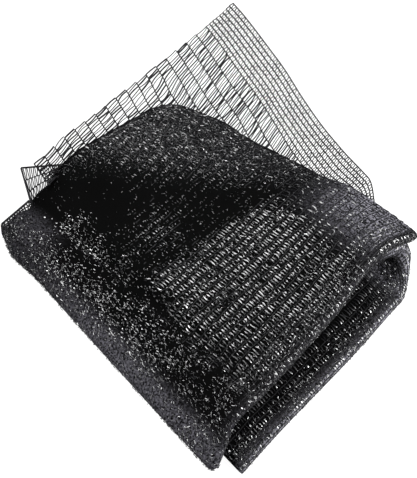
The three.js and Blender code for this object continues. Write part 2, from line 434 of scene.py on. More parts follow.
def run_path():
    """Middle line of the folded strip: straight laps joined by half circles.

    Each point has its length along the strip, its x, z and heading, and the front and back edges there."""
    columns = []
    for i, lap in enumerate(LAPS):
        x = np.linspace(lap["start"], lap["end"], LAP_STATIONS)
        front = front_edge(x, lap["upper"]) + lap["setback"]
        even = np.ones_like(x)
        columns.append([x, even * lap["height"], even * lap["heading"], front, even * lap["back"]])
        if i == len(TURNS):
            break
        after = LAPS[i + 1]
        share = np.linspace(0, 1, TURN_STATIONS)[1:-1]
        angle = math.pi * share
        radius = (after["height"] - lap["height"]) / 2
        x = mix(lap["end"], after["start"], share) + TURNS[i] * radius * np.sin(angle)
        z = lap["height"] + radius * (1 - np.cos(angle))
        upper = mix(lap["upper"], after["upper"], smooth(0, 1, share))
        front = front_edge(x, upper) + mix(lap["setback"], after["setback"], share)
        back = mix(lap["back"], after["back"], share)
        columns.append([x, z, lap["heading"] + TURNS[i] * angle, front, back])
    x, z, heading, front, back = np.concatenate(columns, axis=1)
    length = np.concatenate([[0], np.cumsum(np.hypot(np.diff(x), np.diff(z)))])
    return dict(length=length, x=x, z=z, heading=heading, front=front, back=back)


def ply_path():
    """The strip's section: four plies of equal length joined by half circles.

    Each point has its place across the plies, its share of the depth, its level, and its bulge and inset."""
    plies = [(1, 0, INNER_LEVEL), (0, 1, -INNER_LEVEL), (1, 0, -OUTER_LEVEL), (0, 1, OUTER_LEVEL)]
    columns = []
    place = 0.0
    for i, (start, end, level) in enumerate(plies):
        t = np.linspace(0, 1, PLY_STATIONS)
        inset = INNER_INSET if i < 2 else OUTER_LEVEL
        even = np.ones_like(t)
        columns.append([place + LEG * t, mix(start, end, t), even * level, 0 * t, even * inset])
        place += LEG
        if i == len(plies) - 1:
            break
        t = np.linspace(0, 1, PLY_TURN_STATIONS)[1:-1]
        even = np.ones_like(t)
        after = plies[i + 1][2]
        radius = abs(after - level) / 2
        inset = INNER_INSET if i == 0 else OUTER_LEVEL
        levels = (level + after) / 2 + (level - after) / 2 * np.cos(math.pi * t)
        bulge = (1 if end else -1) * radius * np.sin(math.pi * t)
        columns.append([place + math.pi * radius * t, even * end, levels, bulge, even * inset])
        place += math.pi * radius
    place, share, level, bulge, inset = np.concatenate(columns, axis=1)
    return dict(place=place, share=share, level=level, bulge=bulge, inset=inset)


RUN = run_path()
PLY = ply_path()

# Where the laps and turns begin along the run, and the plies and folds across it
LAP_LENGTHS = [abs(lap["end"] - lap["start"]) for lap in LAPS]
LOOP_START = LAP_LENGTHS[0]
MIDDLE_START = LOOP_START + math.pi * LOOP_RADIUS
NOSE_START = MIDDLE_START + LAP_LENGTHS[1]
TOP_START = NOSE_START + math.pi * NOSE_RADIUS
RUN_END = RUN["length"][-1]
PLY_END = PLY["place"][-1]
INNER_FOLD_END = LEG + math.pi * INNER_LEVEL
OUTER_FOLD_END = PLY_END - LEG
OUTER_FOLD_START = OUTER_FOLD_END - math.pi * OUTER_LEVEL
UNDER_START = OUTER_FOLD_START - LEG
LOWER_FOLD_END = MIDDLE_START + 10

# Where the rows of the outer ply show: on the top, the front folds and the other sides
TOP_ROWS_START = TOP_START - 6
TOP_ROWS_FRONT = OUTER_FOLD_END + 3
FOLD_ROWS_START = OUTER_FOLD_START - 10
FOLD_ROWS_END = OUTER_FOLD_END + 4
FOLD_ROWS_LEFT = NOSE_START - 10
FOLD_ROWS_RIGHT = TOP_START + 40
CLOSE_LINES_END = OUTER_FOLD_END + 14
RIBS_SPAN = (OUTER_FOLD_START - 9, OUTER_FOLD_END + 5)
SIDE_ROWS_END = OUTER_FOLD_END + 24
STRIP_ROWS_END = OUTER_FOLD_END + 32
BACK_ROWS_END = UNDER_START + 8
LOOP_ROWS_START = LOOP_START - 50
LOOP_ROWS_END = MIDDLE_START + 50
UNDER_ROWS_END = OUTER_FOLD_START - 8
LIFTED_TAPES_START = TOP_START + 30
TOP_SPANS = ((TOP_START - 22, RUN_END), (OUTER_FOLD_START + 8, PLY_END))
FOLD_SPANS = ((3, RUN_END), (OUTER_FOLD_START - 24, OUTER_FOLD_END + 22))
COURSES = np.arange(WEFT_PITCH / 2, RUN_END, WEFT_PITCH)

# Bands along the run and across the plies, and shares of the top's depth
BANDS.update(
    outer_fold=(OUTER_FOLD_START - 30, OUTER_FOLD_START),
    fold_crown=(OUTER_FOLD_END - 9, OUTER_FOLD_END + 4),
    shut_nose=(NOSE_START - 25, NOSE_START - 5, TOP_START - 16, TOP_START + 14),
    shut_loop=(LOOP_START - 20, LOOP_START, MIDDLE_START, MIDDLE_START + 30),
    taut_nose=(NOSE_START - 30, NOSE_START - 6, TOP_START, TOP_START + 12),
    taut_fold=(OUTER_FOLD_START - 12, OUTER_FOLD_START, OUTER_FOLD_END, OUTER_FOLD_END + 8),
    loose_crown=(OUTER_FOLD_START + 5, OUTER_FOLD_START + 12, OUTER_FOLD_END + 6, OUTER_FOLD_END + 22),
    upper_folds=(MIDDLE_START, MIDDLE_START + 20),
    straight_rows=(TOP_START, TOP_START + 50),
    straight_rows_depth=(0.02, 0.3),
    sway_depth=(0, 0.1),
)


def hand_creases(x, y):
    """Rise of the top's main creases: each a soft bell across a straight line that fades at its two ends."""
    rise = 0
    for crease in CREASES:
        x0, y0 = crease["start"]
        x1, y1 = crease["end"]
        fade = crease["fade"]
        length = math.hypot(x1 - x0, y1 - y0)
        along = ((x - x0) * (x1 - x0) + (y - y0) * (y1 - y0)) / length
        off = ((x - x0) * (y1 - y0) - (y - y0) * (x1 - x0)) / length
        ends = smooth(-fade, fade, along) * (1 - smooth(-fade, fade, along - length))
        rise = rise + crease["rise"] * bell(off, crease["width"]) * ends
    return rise


def behind_sag(x, y):
    """Distance behind the middle line of the sag, which slants across the top."""
    return y - SAG_CENTRE[1] + SAG_SLANT * (x - SAG_CENTRE[0])


def crease_x(x, y):
    """X as it is at the middle of the left fold's crease, which slants a little: x plus a share of y."""
    return x + CREASE_SLANT * (y - CREASE_CENTRE[1])


def top_relief(x, y):
    """Rise of the top: a lifted back, less a sag before it, a round pocket and a crease by the left fold."""
    behind = behind_sag(x, y)
    across = band("ridge_left", x) * (1 - RIDGE_FADE * band("ridge_right", x))
    ridge = RIDGE_HEIGHT * across * smooth(0, RIDGE_RISE, behind)
    sag = SAG_DEPTH * bell(behind, SAG_WIDTH) * bell(x - SAG_CENTRE[0], SAG_REACH)
    pocket = POCKET_DEPTH * bell(np.hypot(x - POCKET_CENTRE[0], y - POCKET_CENTRE[1]), POCKET_WIDTH)
    crease = CREASE_DEPTH * bell(crease_x(x, y) - CREASE_CENTRE[0], CREASE_WIDTH)
    return ridge - sag - pocket - crease + hand_creases(x, y)


def settle(x, y, z):
    """A point of the evenly folded packet moved to where it lies in the uneven one.

    The upper laps sink on to the lower one away from the loop, the nose is squashed, the loop leans out, the
    packet narrows and slants to the back, and the top's rise and fall is shared out over the height."""
    taper = BACK_TAPER * np.maximum(0, (y - TAPER_START) / (TAPER_END - TAPER_START)) ** TAPER_POWER
    skew = BACK_SKEW * np.maximum(0, x - SKEW_START) * (y / PACKET_DEPTH) ** 2
    upper = smooth(2 * LOWER_HEIGHT, MIDDLE_HEIGHT - LOWER_HEIGHT, z)
    away = 1 - smooth(GAP_CLOSED_X, GAP_OPEN_X, x)
    sinking = (LOOP_GAP - RESTING_GAP) * upper * away * (1 - BACK_GAP_SHARE * band("lifted_back", y))
    floor = SOLID_PLY / 2
    nose = 1 - band("nose", x)
    tip = np.maximum(0, (x - DROOP_START) / (PACKET_LENGTH - DROOP_START)) ** 2
    drooping = TIP_DROOP * tip * smooth(MIDDLE_HEIGHT, TOP_HEIGHT, z) * (1 - band("droop_back", y))
    height = floor + (z - sinking - drooping - floor) * (1 - NOSE_SQUASH * nose)
    weight = np.maximum(0, (height - 2 * floor) / TOP_HEIGHT)
    bulge = LEFT_BULGE * bell(y - LEFT_BULGE_Y, LEFT_BULGE_WIDTH)
    left = LEFT_SLANT * y + LEFT_CORNER_INSET * band("left_corner", y) - bulge
    px = x * (1 - taper) + left * nose
    py = y - skew - LEFT_RECESS * (1 - band("recess_right", x)) * band("recess_back", y)
    above = np.minimum(z, LEAN_TOP) - LOWER_HEIGHT - LOOP_RADIUS
    front = (1 - LEAN_FADE * band("lean_back", y)) * (1 - taper)
    lean = LOOP_LEAN * above * front * smooth(LEAN_START, LAPS[0]["end"], x)
    return np.stack([px + lean, py, height + weight * top_relief(px, py)], axis=-1)


def cloth_at(run, ply):
    """Point of the folded cloth at a length along the run and a place across the plies."""
    at = {name: np.interp(run, RUN["length"], RUN[name]) for name in RUN}
    row = {name: np.interp(ply, PLY["place"], PLY[name]) for name in PLY}
    y = mix(at["front"] + row["inset"], at["back"] - BACK_INSET, row["share"]) + row["bulge"]
    x = at["x"] - row["level"] * np.sin(at["heading"])
    z = at["z"] + row["level"] * np.cos(at["heading"])
    return settle(x, y, z)


def plan_at(run, ply):
    """X and Y of the folded cloth, as seen from above."""
    x, y, _ = np.moveaxis(cloth_at(run, ply), -1, 0)
    return x, y


def cloth_normal(run, ply):
    """Outward direction of the cloth: the cross product of its steps along the run and across the plies."""
    run = np.clip(run, NORMAL_STEP, RUN_END - NORMAL_STEP)
    ply = np.clip(ply, NORMAL_STEP, PLY_END - NORMAL_STEP)
    along = cloth_at(run + NORMAL_STEP, ply) - cloth_at(run - NORMAL_STEP, ply)
    across = cloth_at(run, ply + NORMAL_STEP) - cloth_at(run, ply - NORMAL_STEP)
    return unit(np.cross(along, across))


def cut_edge_at(x):
    """Cut edge of the standing corner: a straight slanting line."""
    return CUT_EDGE_LEFT - CUT_EDGE_SLANT * (x - CORNER_LEFT)


# The packet's right end and back at the level of the standing corner, which leaves it there
CORNER_LEVEL = TOP_HEIGHT + INNER_LEVEL
END_Y = np.linspace(*CORNER_END_SPAN, EDGE_STATIONS)
END_LINE = settle(*np.broadcast_arrays(PACKET_LENGTH, END_Y, CORNER_LEVEL))
END_CREASE = hand_creases(END_LINE[:, 0], END_LINE[:, 1])
BACK_X = np.linspace(LAPS[-1]["start"], PACKET_LENGTH, EDGE_STATIONS)
BACK_LINE = settle(*np.broadcast_arrays(BACK_X, LAPS[-1]["back"] - BACK_INSET, CORNER_LEVEL))
LEFT_BASE = CORNER_BASE_HEIGHT + RIDGE_HEIGHT * band("corner_base", BACK_LINE[:, 0])
BACK_LINE[:, 2] = np.maximum(BACK_LINE[:, 2], LEFT_BASE)
CORNER_ROOT = BACK_LINE[-1]


def beyond_packet(x, y):
    """How far a point lies beyond the packet's right end and beyond its back, less than 0 inside."""
    end_x = np.interp(y, END_LINE[:, 1], END_LINE[:, 0])
    back_y = np.interp(x, BACK_LINE[:, 0], BACK_LINE[:, 1])
    return x - end_x, y - np.where(x < CORNER_ROOT[0], back_y, CORNER_ROOT[1])


def corner_at(x, y):
    """Point of the standing corner above x and y: it lifts with its reach beyond the packet.

    Free of the packet it leaves the end's creases, and a bell-shaped crest lifts its cut edge further."""
    beyond_x, beyond_y = beyond_packet(x, y)
    reach = np.hypot(np.maximum(0, beyond_x), np.maximum(0, beyond_y))
    end_z = np.interp(y, END_LINE[:, 1], END_LINE[:, 2])
    back_z = np.interp(x, BACK_LINE[:, 0], BACK_LINE[:, 2])
    base = np.where(x < CORNER_ROOT[0], back_z, np.where(y < CORNER_ROOT[1], end_z, CORNER_ROOT[2]))
    free = smooth(0, CORNER_FREE_REACH, reach)
    near_edge = smooth(-CORNER_CREST_DEPTH, 0, y - cut_edge_at(x))
    crest = CORNER_CREST * bell(x - CORNER_CREST_X, CORNER_CREST_WIDTH) * near_edge
    crease = np.interp(y, END_LINE[:, 1], END_CREASE)
    lift = CORNER_LIFT * reach**2 / (reach + CORNER_EASE) + free * (crest - crease)
    return np.stack([x, y, base + lift], axis=-1)


def corner_normal(x, y):
    """Upward direction of the standing corner, from its steps along X and Y."""
    step = 1.0
    along = corner_at(x + step, y) - corner_at(x - step, y)
    across = corner_at(x, y + step) - corner_at(x, y - step)
    return unit(np.cross(along, across))


def hex_colour(code):
    """An sRGB hex colour as linear red, green, blue and alpha."""
    parts = np.array([int(code[i : i + 2], 16) / 255 for i in (1, 3, 5)])
    linear = np.where(parts <= 0.04045, parts / 12.92, ((parts + 0.055) / 1.055) ** 2.4)
    return (*linear, 1.0)


def add_node(tree, kind, links=None, **settings):
    """Adds a node with its settings, and links or sets its inputs."""
    node = tree.nodes.new(kind)
    for name, value in settings.items():
        setattr(node, name, value)
    for name, value in (links or {}).items():
        if isinstance(value, bpy.types.NodeSocket):
            tree.links.new(value, node.inputs[name])
        else:
            node.inputs[name].default_value = value
    return node


def new_material(name):
    """An empty node material with its shader and output, ready for links."""
    material = bpy.data.materials.new(name)
    material.use_nodes = True
    tree = material.node_tree
    tree.nodes.clear()
    shader = add_node(tree, "ShaderNodeBsdfPrincipled")
    add_node(tree, "ShaderNodeOutputMaterial", {"Surface": shader.outputs["BSDF"]})
    return material, tree, shader


def polyethylene_tape():
    """Drawn black polyethylene film tape: deep black, waxy gloss, each tape a little duller or shinier."""
    material, tree, shader = new_material("drawn_polyethylene_tape")
    tone = add_node(tree, "ShaderNodeAttribute", attribute_name="shade").outputs["Fac"]
    blacks = {"Factor": tone, "A": hex_colour("#030304"), "B": hex_colour("#0b0b0d")}
    colour = add_node(tree, "ShaderNodeMix", blacks, data_type="RGBA")
    gloss = add_node(tree, "ShaderNodeMapRange", {"Value": tone, "To Min": 0.2, "To Max": 0.38})
    tree.links.new(colour.outputs["Result"], shader.inputs["Base Color"])
    tree.links.new(gloss.outputs["Result"], shader.inputs["Roughness"])
    shader.inputs["IOR"].default_value = 1.51
    return material


def polyethylene_stitch():
    """Knitted loops of the same polyethylene, too small to glint: a flat dark grey line."""
    material, tree, shader = new_material("knitted_polyethylene_stitch")
    tone = add_node(tree, "ShaderNodeAttribute", attribute_name="shade").outputs["Fac"]
    blacks = {"Factor": tone, "A": hex_colour("#040405"), "B": hex_colour("#070708")}
    colour = add_node(tree, "ShaderNodeMix", blacks, data_type="RGBA")
    tree.links.new(colour.outputs["Result"], shader.inputs["Base Color"])
    shader.inputs["Roughness"].default_value = 0.7
    shader.inputs["Specular IOR Level"].default_value = 0.08
    return material


def inner_net_painted_sheen():
    """Deeper plies of the same net: black where it lies open, its own black with the shade inside the packet
    painted in, and a painted violet-grey sheen with a fine grain where a fold draws its gaps closed."""
    material, tree, shader = new_material("inner_knitted_polyethylene_painted_sheen")
    shut = add_node(tree, "ShaderNodeAttribute", attribute_name="shade").outputs["Fac"]
    place = add_node(tree, "ShaderNodeTexCoord").outputs["Object"]
    scale = 1 / (SHEEN_GRAIN * MM)
    grain = add_node(tree, "ShaderNodeTexNoise", {"Vector": place, "Scale": scale, "Detail": 2.0})
    limits = {"Value": grain.outputs["Fac"], "From Min": 0.36, "From Max": 0.68}
    uneven = add_node(tree, "ShaderNodeMapRange", limits)
    share = add_node(tree, "ShaderNodeMath", {0: shut, 1: uneven.outputs["Result"]}, operation="MULTIPLY")
    # A is the black of the deeper plies with their shade painted in, B the painted violet-grey sheen
    tones = {"Factor": share.outputs["Value"], "A": hex_colour("#010101"), "B": hex_colour("#55545a")}
    colour = add_node(tree, "ShaderNodeMix", tones, data_type="RGBA")
    tree.links.new(colour.outputs["Result"], shader.inputs["Base Color"])
    shader.inputs["Roughness"].default_value = 0.8
    shader.inputs["Specular IOR Level"].default_value = 0.01
    return material


def backlit_table():
    """White acrylic of a photo table lit from below: an even pale glow with hardly a shadow."""
    material, _, shader = new_material("backlit_white_acrylic")
    shader.inputs["Base Color"].default_value = hex_colour("#3c3c3c")
    shader.inputs["Roughness"].default_value = 0.9
    shader.inputs["Emission Color"].default_value = hex_colour("#ffffff")
    shader.inputs["Emission Strength"].default_value = 0.95
    return material


def new_piece(name, points, quads, shade, material, stations_each=None):
    """A mesh piece from points in the packet's millimetres, four-cornered faces and a shade for each point.

    A piece of tapes has four corners at each station: its long edges and those round the ends are crisp."""
    mesh = bpy.data.meshes.new(name)
    place = ((points.reshape(-1, 3) - CENTRE) * MM).astype(np.float32)
    mesh.vertices.add(len(place))
    mesh.vertices.foreach_set("co", place.ravel())
    mesh.loops.add(quads.size)
    mesh.loops.foreach_set("vertex_index", quads.astype(np.int32).ravel())
    mesh.polygons.add(len(quads))
    mesh.polygons.foreach_set("loop_start", np.arange(0, quads.size, 4, dtype=np.int32))
    mesh.polygons.foreach_set("use_smooth", np.ones(len(quads), dtype=bool))
    mesh.update(calc_edges=True)
    layer = mesh.attributes.new("shade", "FLOAT", "POINT")
    layer.data.foreach_set("value", shade.astype(np.float32).ravel())
    if stations_each:
        ends = np.empty(2 * len(mesh.edges), dtype=np.int32)
        mesh.edges.foreach_get("vertices", ends)
        station, corner = np.divmod(ends.reshape(-1, 2), 4)
        lengthwise = corner[:, 0] == corner[:, 1]
        at_end = np.isin(station[:, 0] % stations_each, [0, stations_each - 1])
        round_end = (station[:, 0] == station[:, 1]) & at_end
        crisp = mesh.attributes.new("sharp_edge", "BOOLEAN", "EDGE")
        crisp.data.foreach_set("value", lengthwise | round_end)
    mesh.validate()
    mesh.materials.append(material)
    piece = bpy.data.objects.new(name, mesh)
    bpy.context.scene.collection.objects.link(piece)
    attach(piece, "root")
    return piece


def new_tapes(name, material, rng, paths, sides, widths, thickness):
    """A piece of many flat tapes carried along paths: a four-cornered section, its long way along the sides.

    Paths and sides are tape, station, axis. The two ends of a tape are closed by one face each."""
    tangents = unit(np.gradient(paths, axis=1))
    sides = unit(sides - tangents * np.sum(sides * tangents, axis=-1, keepdims=True))
    ups = np.cross(tangents, sides)
    half = sides * (np.broadcast_to(widths, paths.shape[:2])[..., None] / 2)
    rise = ups * thickness / 2
    corners = [paths + half + rise, paths - half + rise, paths - half - rise, paths + half - rise]
    points = np.stack(corners, axis=2)
    count, stations_each = paths.shape[:2]
    index = np.arange(count * stations_each * 4).reshape(count, stations_each, 4)
    turned = np.roll(index, -1, axis=2)
    walls = np.stack([index[:, :-1], turned[:, :-1], turned[:, 1:], index[:, 1:]], axis=-1).reshape(-1, 4)
    ends = np.concatenate([index[:, 0, ::-1], index[:, -1, :]]).reshape(-1, 4)
    shade = np.broadcast_to(rng.uniform(0, 1, count)[:, None, None], points.shape[:3])
    return new_piece(name, points, np.concatenate([walls, ends]), shade, material, stations_each)


def run_limit(ply):
    """How far the cloth runs at a place across the plies: to its end, less a quarter round at the back."""
    share = np.interp(ply, PLY["place"], PLY["share"])
    into = np.clip(1 - (1 - share) * LEG / CORNER_ROUND, 0, 1)
    return RUN_END - CORNER_ROUND * (1 - np.sqrt(1 - into**2))


def top_face(run, ply):
    """1 on the upper face of the top lap, 0 elsewhere."""
    return np.where((run > TOP_START) & (ply > OUTER_FOLD_END), 1, 0)


def towards_back(x, y):
    """Distance towards the right back corner, across the slanting line where the lifted back begins."""
    return x + LIFTED_SLANT * y


def sag_share(x, y):
    """1 in the sag behind the bright rows and before the lifted back, 0 outside it."""
    patch = bell(np.hypot(x - SAG_PATCH[0], y - SAG_PATCH[1]), SAG_PATCH_WIDTH)
    inside = band("sag_front", behind_sag(x, y)) * (1 - band("sag_back", towards_back(x, y)))
    return inside * (1 - SAG_PATCH_SHARE * patch)


def pocket_share(x, y):
    """1 in the middle of the pocket's dark, a bell that lies a little before the pocket itself."""
    forward = y - POCKET_CENTRE[1] + DARK_POCKET_FORWARD
    return bell(np.hypot(x - POCKET_CENTRE[0], forward), DARK_POCKET_WIDTH)


def painted_sheen_share(run, ply):
    """How much painted violet-grey sheen the sheet takes, from 0 to 1, where folds draw the net closed: the
    most of what its nose, front folds, loop, right end, lifted back and left back corner give."""
    x, y = plan_at(run, ply)
    outer = band("outer_fold", ply)
    top = top_face(run, ply)
    fold_sheen = np.where(run < LOWER_FOLD_END, LOWER_FOLD_SHEEN, UPPER_FOLD_SHEEN)
    shares = dict(
        nose=band("shut_nose", run) * outer * (1 - NOSE_SHEEN_DIMMING * band("nose_dim", y)),
        fold=outer * (1 - band("fold_crown", ply)) * fold_sheen,
        loop=band("shut_loop", run),
        right_end=top * band("right_end", x) * (1 - band("right_end_back", y)),
        lifted=top * band("lifted_net", towards_back(x, y)),
        left_back=top * band("left_back", y) * (1 - band("left_back_right", x)),
    )
    return np.maximum.reduce([PAINTED_SHEEN[name] * share for name, share in shares.items()])


def sheet_grid(run, ply):
    """The cloth as a closed sheet: points of both faces half a thickness off the folds, and its rim."""
    runs, plies = np.meshgrid(run, ply, indexing="ij")
    runs = runs - (RUN_END - run_limit(plies)) * smooth(RUN_END - 2 * CORNER_ROUND, RUN_END, runs)
    middle = cloth_at(runs, plies)
    offset = cloth_normal(runs, plies) * SHEET_THICKNESS / 2
    points = np.stack([middle + offset, middle - offset])
    n, m = runs.shape
    face = np.arange(n * m).reshape(n, m)
    cells = [face[:-1, :-1], face[1:, :-1], face[1:, 1:], face[:-1, 1:]]
    outer = np.stack(cells, axis=-1).reshape(-1, 4)
    inner = outer[:, ::-1] + n * m
    rims = []
    for a, b in [
        (face[:-1, 0], face[1:, 0]),
        (face[-1, :-1], face[-1, 1:]),
        (face[1:, -1][::-1], face[:-1, -1][::-1]),
        (face[0, 1:][::-1], face[0, :-1][::-1]),
    ]:
        rims.append(np.stack([a + n * m, b + n * m, b, a], axis=-1))
    # The sheet's shade attribute carries its share of painted sheen
    shade = np.stack([painted_sheen_share(runs, plies)] * 2)
    return points, np.concatenate([outer, inner, *rims]), shade


def stations(spans):
    """Places along a line, with each span's own step: end, step."""
    places = [np.array([0.0])]
    start = 0.0
    for end, step in spans:
        count = max(1, round((end - start) / step))
        places.append(np.linspace(start, end, count + 1)[1:])
        start = end
    return np.concatenate(places)


def folded_plies(material):
    """All the plies of the packet as one continuous folded sheet."""
    run = stations(
        [
            (LOOP_START, LOWER_STEP),
            (MIDDLE_START, LOOP_STEP),
            (NOSE_START, MIDDLE_STEP),
            (TOP_START, NOSE_STEP),
            (RUN_END, TOP_STEP),
        ]
    )
    ply = stations(
        [
            (LEG, PLY_STEP),
            (INNER_FOLD_END, INNER_FOLD_STEP),
            (INNER_FOLD_END + LEG, PLY_STEP),
            (UNDER_START, INNER_FOLD_STEP),
            (OUTER_FOLD_START, PLY_STEP),
            (OUTER_FOLD_END, OUTER_FOLD_STEP),
            (PLY_END, TOP_PLY_STEP),
        ]
    )
    return new_piece("folded_plies", *sheet_grid(run, ply), material)


def on_top(run, ply):
    """Where the outer ply is the top of the packet."""
    return (run > TOP_ROWS_START) & (ply > TOP_ROWS_FRONT)


def on_sides(run, ply):
    """Where the outer ply shows its rows beside the top: behind the front folds, on the back fold, on both
    faces of the loop and on the lower strip."""
    upper = ply > FOLD_ROWS_END
    front = upper & (ply < SIDE_ROWS_END)
    back = ply < BACK_ROWS_END
    under = (ply > UNDER_START) & (ply < UNDER_ROWS_END)
    loop = (run > LOOP_ROWS_START) & (run < LOOP_ROWS_END) & (upper | under)
    strip = (run < LOOP_START) & upper & (ply < STRIP_ROWS_END)
    return (front | back | loop | strip) & ~on_top(run, ply)


def on_folds(run, ply):
    """Where the outer ply turns over a front fold, apart from the nose."""
    turning = (ply > FOLD_ROWS_START) & (ply < FOLD_ROWS_END)
    return turning & ((run < FOLD_ROWS_LEFT) | (run > FOLD_ROWS_RIGHT))


def stitch_places(rng):
    """Places of the stitch lines across the plies: from the back fold on, each a chance step after the last.

    The steps are shorter round the front fold, where the net is drawn together."""
    places = [UNDER_START - BACK_FOLD_REACH]
    while places[-1] < PLY_END + MOST_SPACING:
        drawn_together = FOLD_ROWS_START < places[-1] < CLOSE_LINES_END
        share = FOLD_SPACING_SHARE if drawn_together else 1
        places.append(places[-1] + rng.uniform(LEAST_SPACING, MOST_SPACING) * share)
    return np.array(places)


def line_place(line, run):
    """Place of a stitch line across the plies: along the fold at first, then straight along X on the top.

    The line's depth at the middle of the top gives the y that it keeps, and its place follows from that."""
    x, front, back = (np.interp(run, RUN["length"], RUN[name]) for name in ("x", "front", "back"))
    share = (line - OUTER_FOLD_END) / LEG
    level = mix(front_edge(ROW_MIDDLE_X, 1) + OUTER_LEVEL, LAPS[-1]["back"] - BACK_INSET, share)
    level = level - BACK_SKEW * (ROW_MIDDLE_X - SKEW_START) * (level / PACKET_DEPTH) ** 2
    slant = BACK_SKEW * np.maximum(0, x - SKEW_START) / PACKET_DEPTH**2
    y = 2 * level / (1 + np.sqrt(np.maximum(0, 1 - 4 * slant * level)))
    straight = OUTER_FOLD_END + LEG * (y - front - OUTER_LEVEL) / (back - BACK_INSET - front - OUTER_LEVEL)
    weight = band("straight_rows", run) * band("straight_rows_depth", share)
    sway = ROW_SWAY * np.sin(run / ROW_SWAY_REACH + line) * band("sway_depth", share)
    return mix(line, straight, weight) + sway


def tautness(run, ply):
    """Where the tapes lie flat and close, from 0 to 1: round the nose and on the front folds."""
    return np.maximum(band("taut_nose", run), band("taut_fold", ply))


def left_share(run, ply):
    """Share of the net that is crumpled at the left: 1 on the nose and up to the line where the rows begin.

    That line steps to the right and is ragged as a sine wave, and some rows show in a strip beside it."""
    x, y = plan_at(run, ply)
    rows_start = ROWS_LEFT + ROWS_STEP * band("rows_step", y) + ROWS_RAGGED * np.sin(y / ROWS_RAGGED_REACH)
    crumpled = 1 - smooth(rows_start - ROWS_FADE_IN, rows_start + ROWS_FADE_OUT, x)
    rows = LEFT_ROWS_SHARE * band("left_rows", x) * band("left_rows_depth", y)
    return np.where(run > FOLD_ROWS_LEFT, crumpled * (1 - rows), 0)


def missing_share(run, ply):
    """Share of tapes that no longer lie in their row: all of them on the crumpled left, half on the front
    folds, some in the sag and most in the pocket."""
    x, y = plan_at(run, ply)
    # In the sag and pocket the left-out tapes bare the sheet's black, painted shade in those hollows
    pocket = MISSING["pocket"] * np.minimum(1, POCKET_MISSING_RISE * pocket_share(x, y))
    top = top_face(run, ply) * np.maximum(MISSING["sag"] * sag_share(x, y), pocket)
    folds = MISSING["fold"] * on_folds(run, ply)
    return np.maximum.reduce([left_share(run, ply), folds, MISSING["row"] + top])


def lifted_share(run, ply):
    """Share of short tapes on the lifted back, where no row is left whole."""
    return np.where(run > LIFTED_TAPES_START, band("lifted_net", towards_back(*plan_at(run, ply))), 0)


def loose_share(run, ply):
    """Share of loose ends over the rows of the top: many on the bright rows, few in the sag and to the
    right, fewer in the pocket."""
    x, y = plan_at(run, ply)
    sag = 1 - FEWER_LOOSE_ENDS["sag"] * sag_share(x, y)
    pocket = 1 - FEWER_LOOSE_ENDS["pocket"] * pocket_share(x, y)
    right = 1 - FEWER_LOOSE_ENDS["right"] * band("loose_ends_right", x - LOOSE_ENDS_SLANT * y)
    return (1 - left_share(run, ply)) * sag * pocket * (1 - lifted_share(run, ply)) * right


def glint_share(run, ply):
    """Share of tapes to be seen on the crumpled left: bright strips along the fold with a dark trough
    between, more at the front tip and the back edge, few on the nose."""
    x, y = plan_at(run, ply)
    x = crease_x(x, y)
    outer_front = mix(OUTER_GLINTS_FRONT, 1, band("outer_glints_front", y))
    outer_back = 1 - OUTER_GLINTS_FADE * band("outer_glints_back", y)
    front = band("front_glints", x) + band("front_glints_right", x)
    shares = dict(
        everywhere=1,
        tip=(1 - band("tip_glints_back", y)) * (1 - band("tip_glints_right", x)),
        brow=1 - band("brow_glints_right", x),
        outer=band("outer_glints", x) * outer_front * outer_back,
        inner=band("inner_glints_left", x) * band("inner_glints_depth", y),
        front=front * (1 - band("front_glints_back", y)),
        edge=band("edge_glints_depth", y) * (1 - band("edge_glints_right", x)),
    )
    total = sum(GLINTS[name] * share for name, share in shares.items())
    return np.clip(total, 0, 1) * left_share(run, ply)


def fold_share(run, ply):
    """Share of loose ends on the front folds: patches on the crown of the lower one, even on the others."""
    wave = np.sin(run / CROWN_PATCH_REACH + CROWN_PATCH_START) ** 2
    patches = 1 - CROWN_PATCHES + CROWN_PATCHES * wave
    others = mix(LOOP_LOOSE_ENDS, UPPER_LOOSE_ENDS, band("upper_folds", run)) * (1 - left_share(run, ply))
    return np.where(run < LOOP_START, band("loose_crown", ply) * patches, others)


def crumple(run, ply):
    """How crumpled the net lies, from 0 to 1: little in the straight rows, more on the lifted back,
    and wholly to the left of the line where the rows begin."""
    lifted = band("lifted_net", towards_back(*plan_at(run, ply)))
    top = np.maximum(CRUMPLE["row"] + CRUMPLE["lifted"] * lifted, left_share(run, ply))
    loose = np.where(run > TOP_START, top, CRUMPLE["below"])
    return loose * (1 - CRUMPLE["taut"] * tautness(run, ply))


def lies_whole(run, ply, paths):
    """Which tapes lie wholly on the cloth and clear of the floor."""
    on_cloth = (ply.max(axis=1) < PLY_END) & (run.min(axis=1) > 0) & (run < run_limit(ply)).all(axis=1)
    return on_cloth & (paths[..., 2].min(axis=1) > FLOOR_CLEARANCE)


def drift(rng, rows, run):
    """Slow chance variation along each row: straight steps between normal draws at even spacing."""
    draws = rng.normal(0, 1, (rows.max() + 1, int(RUN_END / DRIFT_SPACING) + 3))
    knot = run / DRIFT_SPACING
    low = knot.astype(int)
    return mix(draws[rows, low], draws[rows, low + 1], knot - low)


def kept_wefts(rng, lines, shown):
    """Row and course of each weft tape that shows and that chance leaves in its row."""
    row, column = np.meshgrid(np.arange(len(lines) - 1), np.arange(len(COURSES)), indexing="ij")
    middle = (lines[row] + lines[row + 1]) / 2
    missing = missing_share(COURSES[column], middle)
    kept = shown(COURSES[column], middle) & (rng.uniform(0, 1, row.shape) > missing)
    return row[kept], column[kept]


